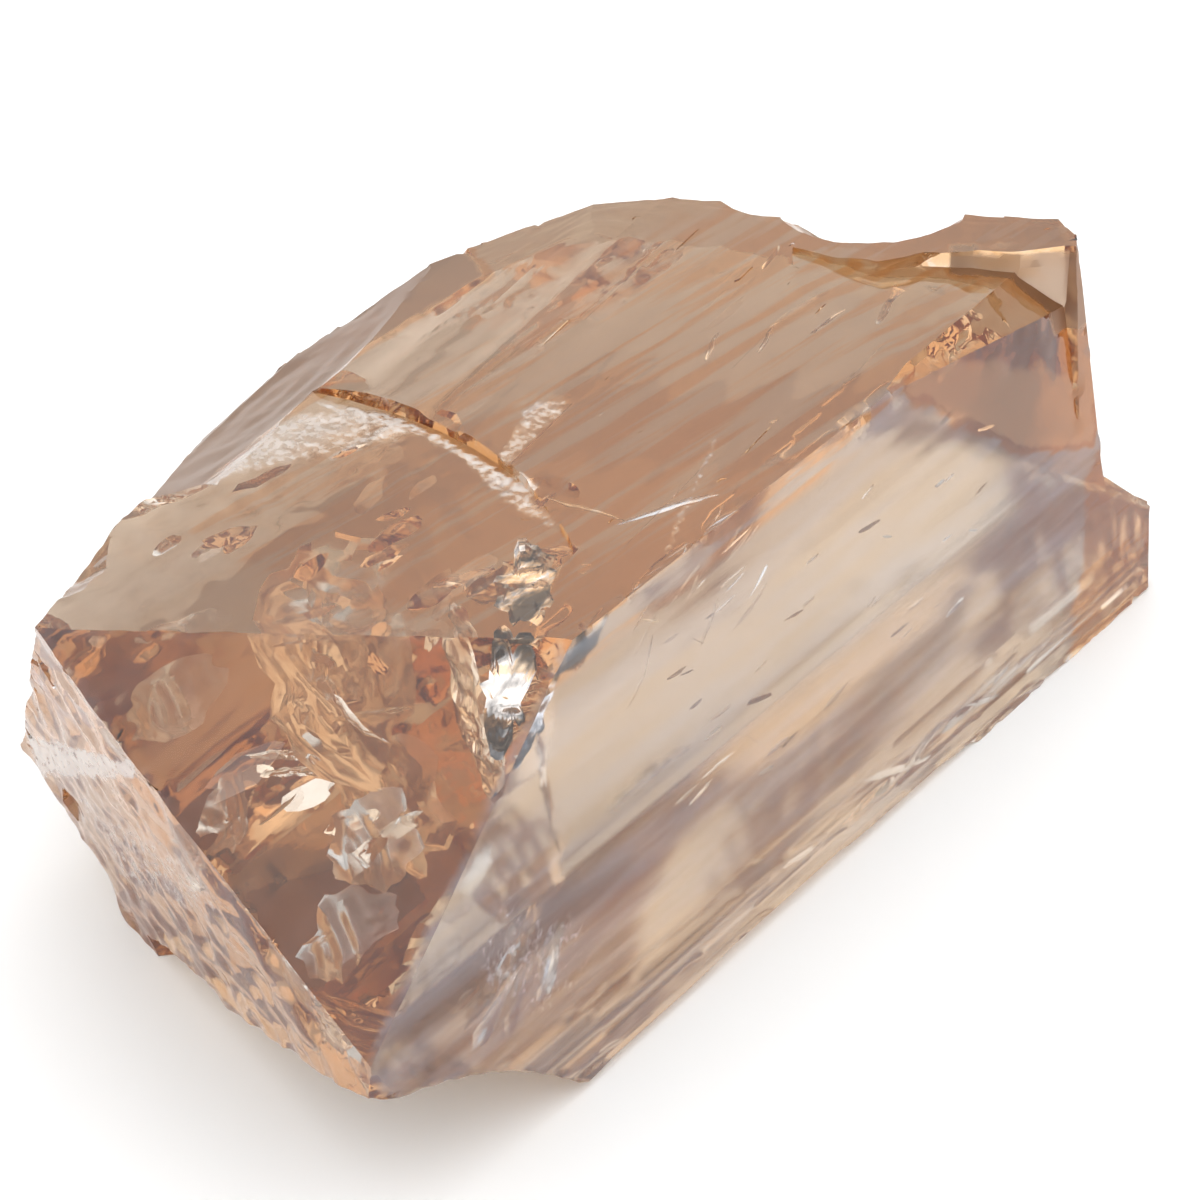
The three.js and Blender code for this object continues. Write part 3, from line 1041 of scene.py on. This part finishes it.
FRACTURES = (
    # The silvery cracks close under the top and the window, with painted reflections.
    Fracture(
        (5.0, -10.2, 13.5), (0.2, -0.25, 0.95), (0.62, -0.78, 0.0), 2.0, 1.0,
        bend=0.3, ripple=0.04, waves=0.3, ragged=0.75, silver=1.0, seed=45,
    ),
    Fracture(
        (7.0, -13.45, 12.9), (0.35, -0.5, 0.79), (0.5, -0.6, -0.65), 1.9, 0.85,
        bend=0.3, ripple=0.04, waves=0.4, ragged=0.8, silver=1.0, seed=30,
    ),
    # The broad cracks behind the window, which catch the light softly.
    Fracture(
        (2.6, -6.6, 6.1), (0.33, -0.04, -0.943), (0.35, -0.93, 0.1), 2.3, 1.6,
        bend=0.3, ripple=0.05, spacing=0.8, waves=0.3, ragged=0.5, soft=0.6, seed=31,
    ),
    Fracture(
        (0.6, -13.9, 10.6), (0.6, 0.32, 0.735), (-0.4, 0.9, 0.0), 4.4, 3.0,
        bend=0.9, ripple=0.05, spacing=0.9, waves=0.35, ragged=0.7, soft=0.9, seed=32,
    ),
    Fracture(
        (4.5, -16.5, 8.6), (0.775, -0.092, 0.625), (0.1, 0.9, 0.0), 1.8, 1.4,
        bend=0.3, ripple=0.02, waves=0.2, ragged=0.5, soft=1.0, seed=33,
    ),
    Fracture(
        (-2.5, -16.6, 10.4), (0.775, -0.092, 0.625), (0.2, 0.9, 0.0), 1.9, 1.0,
        bend=0.4, ripple=0.02, waves=0.25, ragged=0.6, soft=1.0, seed=34,
    ),
    Fracture(
        (0.6, -17.4, 8.4), (-0.5, -0.8, 0.33), (0.3, 0.0, 0.9), 1.5, 1.1,
        bend=0.3, ripple=0.02, waves=0.3, ragged=0.6, soft=1.0, seed=35,
    ),
    # Three bright slivers among them.
    Fracture(
        (1.6, -16.6, 10.6), (0.2, -0.75, -0.3), (0.9, 0.1, 0.4), 1.3, 0.28,
        bend=0.2, waves=0.1, ragged=0.3, seed=36, rings=8, spokes=28,
    ),
    Fracture(
        (2.0, -16.5, 10.1), (0.3, -0.7, -0.3), (0.9, 0.15, 0.35), 1.2, 0.25,
        bend=0.2, waves=0.1, ragged=0.3, seed=37, rings=8, spokes=28,
    ),
    Fracture(
        (3.0, -15.8, 12.0), (0.954, 1.983, 1.372), (2.34, -0.33, -1.15), 1.5, 0.5,
        bend=0.5, waves=0.08, ragged=0.3, seed=38, rings=8, spokes=28,
    ),
    # The cracks towards the right face and the front's foot.
    Fracture(
        (5.2, -12.8, 10.6), (0.4, 0.9, 0.09), (0.35, -0.1, -0.9), 3.2, 1.3,
        bend=0.3, ripple=0.04, waves=0.3, ragged=0.6, soft=0.7, seed=39,
    ),
    Fracture(
        (6.6, -15.0, 5.2), (-0.7, -0.35, 0.6), (0.1, 0.8, 0.5), 2.3, 1.8,
        bend=0.5, ripple=0.08, spacing=0.7, waves=0.4, ragged=0.6, soft=0.8, seed=40,
    ),
    Fracture(
        (2.5, -13.5, 6.5), (0.5, 0.45, 0.75), (-0.3, 0.8, -0.3), 3.2, 2.4,
        bend=0.8, ripple=0.05, waves=0.35, ragged=0.6, soft=0.9, seed=41,
    ),
    Fracture(
        (5.1, -18.4, 6.9), (0.75, -0.15, 0.64), (0.2, 0.9, 0.0), 1.8, 1.2,
        bend=0.3, ripple=0.03, waves=0.25, ragged=0.6, soft=1.0, seed=42,
    ),
    # Two narrow cracks just under the top.
    Fracture(
        (4.3, -6.6, 14.4), (0.0, 1.0, 0.2), (1.0, 0.0, 0.08), 1.4, 0.2,
        bend=0.1, ripple=0.0, waves=0.06, ragged=0.3, rings=6, spokes=32, seed=43,
    ),
    Fracture(
        (6.3, -5.2, 14.55), (0.88, -0.47, 0.2), (0.47, 0.88, 0.04), 1.6, 0.2,
        bend=0.1, ripple=0.0, waves=0.06, ragged=0.3, rings=6, spokes=32, seed=44,
    ),
)

# Behind the window, under the top's front and back, and along the right face.
SWARMS = (
    Swarm((2.4, -16.4, 9.6), (2.6, 1.8, 2.0), (-0.3, -0.5, 0.6), (0.5, 0.2, 0.7), 9, 1.1, 0.4, 1.0, 51),
    Swarm((-1.0, -10.5, 12.9), (4.5, 4.5, 0.7), (-0.1, 0.2, 1.0), (-0.14, 1.0, 0.0), 26, 1.0, 0.3, 0.5, 52),
    Swarm((2.0, 6.5, 13.0), (2.5, 3.0, 0.8), (0.5, 0.1, 0.8), (-0.14, 1.0, 0.0), 10, 1.0, 0.12, 0.3, 53),
    Swarm((8.15, 0.0, 9.0), (0.12, 9.0, 3.8), (0.6, 0.2, 0.7), (0.0, 1.0, 0.1), 40, 0.55, 0.08, 0.4, 54),
    Swarm((7.9, -6.5, 12.6), (0.25, 3.5, 1.5), (0.6, -0.2, 0.7), (0.1, 0.9, 0.5), 20, 0.6, 0.07, 0.6, 57),
    Swarm((8.3, 3.0, 1.2), (0.5, 9.0, 0.5), (0.6, 0.1, 0.7), (0.0, 1.0, 0.0), 26, 1.0, 0.16, 0.4, 55),
    Swarm((7.3, -15.5, 4.6), (0.8, 2.2, 1.4), (0.8, -0.3, 0.3), (0.1, 0.7, 0.6), 14, 0.8, 0.3, 0.8, 56),
)


@dataclass
class Crystal:
    """The broken prism, its skin and the fractures inside it."""

    finish: TopazFinish = TopazFinish()
    faces: tuple[Face, ...] = FACES
    broken: Relief = BROKEN
    patches: tuple[Patch, ...] = PATCHES
    fractures: tuple[Fracture, ...] = FRACTURES
    swarms: tuple[Swarm, ...] = SWARMS
    weld: float = 1e-7  # metres
    octree_depth: int = 8
    octree_scale: float = 0.72
    smooth_angle: float = math.radians(18)
    chipped: Face = RIGHT  # the face whose edges are chipped
    chip_depth: float = 0.2
    chip_size: float = 0.8
    chip_edge: Pair = (0.2, 0.6)
    chip_seed: int = 6
    skin_margin: float = 0.01  # the least depth of a fracture under the skin

    def build(self) -> bpy.types.Object:
        """Makes the whole crystal.

        Returns:
            One closed mesh, fractures included.
        """
        body = self._remeshed(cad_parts[NODE].data)
        self._carve(body)
        mesh = self._with_fractures(body)
        mesh.set_sharp_from_angle(angle=self.smooth_angle)
        self._mark(mesh, to_working(self._points(body)))
        mesh.materials.clear()
        mesh.materials.append(self.finish.material())
        crystal = bpy.data.objects.new("topaz", mesh)
        bpy.context.scene.collection.objects.link(crystal)
        return crystal

    def _remeshed(self, source: bpy.types.Mesh) -> bpy.types.Mesh:
        """Makes the solid's surface anew of small quads that keep its sharp edges.

        Args:
            source: The solid's mesh, which stays as it is.

        Returns:
            The new mesh.
        """
        solid = bpy.data.objects.new("solid", source.copy())
        bpy.context.scene.collection.objects.link(solid)
        weld = solid.modifiers.new("weld", "WELD")
        weld.merge_threshold = self.weld
        remesh = solid.modifiers.new("remesh", "REMESH")
        remesh.mode = "SHARP"
        remesh.octree_depth = self.octree_depth
        remesh.scale = self.octree_scale
        remesh.sharpness = 1.0
        remesh.use_remove_disconnected = False
        remesh.use_smooth_shade = True
        evaluated = solid.evaluated_get(bpy.context.evaluated_depsgraph_get())
        mesh = bpy.data.meshes.new_from_object(evaluated)
        bpy.data.objects.remove(solid)
        return mesh

    @staticmethod
    def _points(mesh: bpy.types.Mesh) -> np.ndarray:
        """The mesh's points.

        Args:
            mesh: The mesh, in metres.

        Returns:
            Its points in metres, one to a row.
        """
        flat = np.zeros(3 * len(mesh.vertices))
        mesh.vertices.foreach_get("co", flat)
        return flat.reshape(-1, 3)

    def _carve(self, mesh: bpy.types.Mesh) -> None:
        """Trues the flat faces and moves the surface in by its relief, within the solid's box.

        Args:
            mesh: The body's surface, which is changed.
        """
        normals = np.zeros(3 * len(mesh.vertices))
        mesh.vertex_normals.foreach_get("vector", normals)
        points = to_working(self._points(mesh))
        for face in self.faces:
            points = face.trued(points)
        carved = points - normals.reshape(-1, 3) * self._relief(points)[:, None]
        low, high = (np.array(corner) for corner in CAD_BOX)
        mesh.vertices.foreach_set("co", np.clip(to_metres(carved), low, high).ravel())
        mesh.update()

    def _relief(self, points: np.ndarray) -> np.ndarray:
        """The relief of the faces, or of the breaks where no face is near, and the chips.

        Args:
            points: Places on the crystal, one to a row.

        Returns:
            How far in the surface lies at each, in mm.
        """
        nearness = np.array([face.nearness(points) for face in self.faces])
        rest = np.clip(1.0 - nearness.sum(axis=0), 0.0, 1.0)
        shares = nearness / np.maximum(nearness.sum(axis=0), 1.0)
        depths = rest * self.broken.depths(points)
        for share, face in zip(shares, self.faces):
            for relief in face.reliefs:
                depths = depths + share * relief.depths(points)
        chipped = self.faces.index(self.chipped)
        at_edge = nearness[chipped] * np.delete(nearness, chipped, axis=0).max(axis=0)
        chips = eased(Noise(self.chip_seed).layered(points / self.chip_size), *self.chip_edge)
        return depths + self.chip_depth * at_edge * chips

    def _with_fractures(self, body: bpy.types.Mesh) -> bpy.types.Mesh:
        """Joins the fractures' walls to the body.

        Args:
            body: The carved surface.

        Returns:
            A mesh of the body, whose points come first, and all fractures that lie under its skin.
        """
        points = [self._points(body)]
        faces = [tuple(polygon.vertices) for polygon in body.polygons]
        skin = BVHTree.FromPolygons(points[0].tolist(), faces)
        silver = [np.zeros(len(points[0]))]
        soft = [np.zeros(len(points[0]))]
        for fracture in itertools.chain(self.fractures, *(swarm.fractures() for swarm in self.swarms)):
            places, walls = fracture.surface()
            places = to_metres(places)
            if not self._lies_inside(places, skin):
                continue
            start = sum(len(part) for part in points)
            points.append(places)
            silver.append(np.full(len(places), fracture.silver))
            soft.append(np.full(len(places), fracture.soft))
            faces.extend(tuple(start + index for index in wall) for wall in walls)
        mesh = bpy.data.meshes.new("topaz")
        mesh.from_pydata(np.vstack(points), [], faces)
        mesh.shade_smooth()
        self._write_mask(mesh, Mask.SILVER, np.concatenate(silver))
        self._write_mask(mesh, Mask.SOFT, np.concatenate(soft))
        return mesh

    def _lies_inside(self, places: np.ndarray, skin: BVHTree) -> bool:
        """Whether a fracture lies under the skin, with the margin to spare.

        Args:
            places: The fracture's points, in metres.
            skin: The body's surface.

        Returns:
            True if all of it does.
        """
        for place in map(Vector, places):
            nearest, outward, _, away = skin.find_nearest(place)
            if (place - nearest).dot(outward) > 0.0 or away < self.skin_margin * MM:
                return False
        return True

    def _mark(self, mesh: bpy.types.Mesh, points: np.ndarray) -> None:
        """Writes the skin's masks; on the fractures' walls they are 0.

        Args:
            mesh: The whole crystal, with the body's points first.
            points: The body's points, in the working frame's mm.
        """
        skin = slice(len(points))
        marked = (Mask.FROST, Mask.PAINTED_SHADE, Mask.SATIN)
        covers = {mask: np.zeros(len(mesh.vertices)) for mask in marked}
        for patch in self.patches:
            cover = covers[patch.mask]
            cover[skin] = np.maximum(cover[skin], patch.cover(points))
        satin = covers[Mask.SATIN]
        for face in self.faces:
            satin[skin] = np.maximum(satin[skin], face.satin * face.nearness(points))
        for mask, cover in covers.items():
            self._write_mask(mesh, mask, cover)

    @staticmethod
    def _write_mask(mesh: bpy.types.Mesh, mask: Mask, cover: np.ndarray) -> None:
        """Gives the surface one mask, a number to each point."""
        attribute = mesh.attributes.new(mask.value, "FLOAT", "POINT")
        attribute.data.foreach_set("value", cover.astype(np.float32))


# The studio


@dataclass
class Studio:
    """Pale ground, a soft white dome and the camera."""

    ground_size: float = 3.0
    paper: PaperFinish = PaperFinish()
    overhead: float = 1.62
    horizon: float = 0.66
    brightest_from: float = 0.9  # the sine of the height at which the dome is as bright as overhead
    azimuth: float = math.radians(36.5)
    elevation: float = math.radians(35.0)
    distance: float = 0.140
    aim: Triple = (0.0, 0.0, 6.0)  # in the working frame
    lens: float = 135.0
    sensor: float = 36.0
    clip_start: float = 0.01
    bounces: int = 16
    glossy_bounces: int = 12
    diffuse_bounces: int = 2
    noise_left: float = 0.04

    def build(self) -> None:
        """Lays the ground, lights it and sets the camera."""
        self._lay_ground()
        self._light_dome()
        self._set_camera()
        self._set_light_paths()

    def _lay_ground(self) -> None:
        """A wide sheet at the height the crystal rests on."""
        half = self.ground_size / 2
        corners = [(-half, -half, 0.0), (half, -half, 0.0), (half, half, 0.0), (-half, half, 0.0)]
        mesh = bpy.data.meshes.new("ground")
        mesh.from_pydata(corners, [], [(0, 1, 2, 3)])
        mesh.materials.append(self.paper.material())
        ground = bpy.data.objects.new("ground", mesh)
        bpy.context.scene.collection.objects.link(ground)

    def _light_dome(self) -> None:
        """Soft light from all round, stronger overhead; the dome itself is seen as white."""
        world = bpy.data.worlds.new("studio")
        world.use_nodes = True
        bpy.context.scene.world = world
        world.cycles.sampling_method = "NONE"
        bench = Bench(world.node_tree)
        direction = bench.make("ShaderNodeTexCoord", {}, {}, "Generated")
        height = bench.along(direction, (0.0, 0.0, 1.0)).stepped(0.0, self.brightest_from)
        level = self.horizon + height * (self.overhead - self.horizon)
        level = level.peak(bench.make("ShaderNodeLightPath", {}, {}, "Is Camera Ray"))
        light = bench.make("ShaderNodeBackground", {}, {"Color": opaque(WHITE), "Strength": level})
        bench.node("ShaderNodeOutputWorld", {}, {"Surface": light})

    def _set_camera(self) -> None:
        """The camera, looking down at the crystal's front right corner."""
        flat = math.cos(self.elevation)
        back = Vector(
            (math.sin(self.azimuth) * flat, -math.cos(self.azimuth) * flat, math.sin(self.elevation))
        )
        data = bpy.data.cameras.new("camera")
        data.lens = self.lens
        data.sensor_width = self.sensor
        data.clip_start = self.clip_start
        camera = bpy.data.objects.new("camera", data)
        camera.location = Vector(to_metres(self.aim)) + back * self.distance
        camera.rotation_euler = back.to_track_quat("Z", "Y").to_euler()
        bpy.context.scene.collection.objects.link(camera)
        bpy.context.scene.camera = camera

    def _set_light_paths(self) -> None:
        """Plain colours, and enough bounces for light that is caught inside the crystal."""
        scene = bpy.context.scene
        scene.view_settings.view_transform = "Standard"
        scene.cycles.max_bounces = self.bounces
        scene.cycles.transmission_bounces = self.bounces
        scene.cycles.glossy_bounces = self.glossy_bounces
        scene.cycles.diffuse_bounces = self.diffuse_bounces
        scene.cycles.adaptive_threshold = self.noise_left


def main() -> None:
    """Builds the crystal and its studio."""
    logging.basicConfig(level=logging.INFO, format="%(name)s: %(message)s")
    crystal = Crystal().build()
    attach(crystal, "root")
    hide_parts(NODE)
    log.info("%s: %d triangles", crystal.name, len(crystal.data.loops) - 2 * len(crystal.data.polygons))
    Studio().build()
    log.info("studio: ground, dome and camera")


if __name__ == "__main__":
    main()
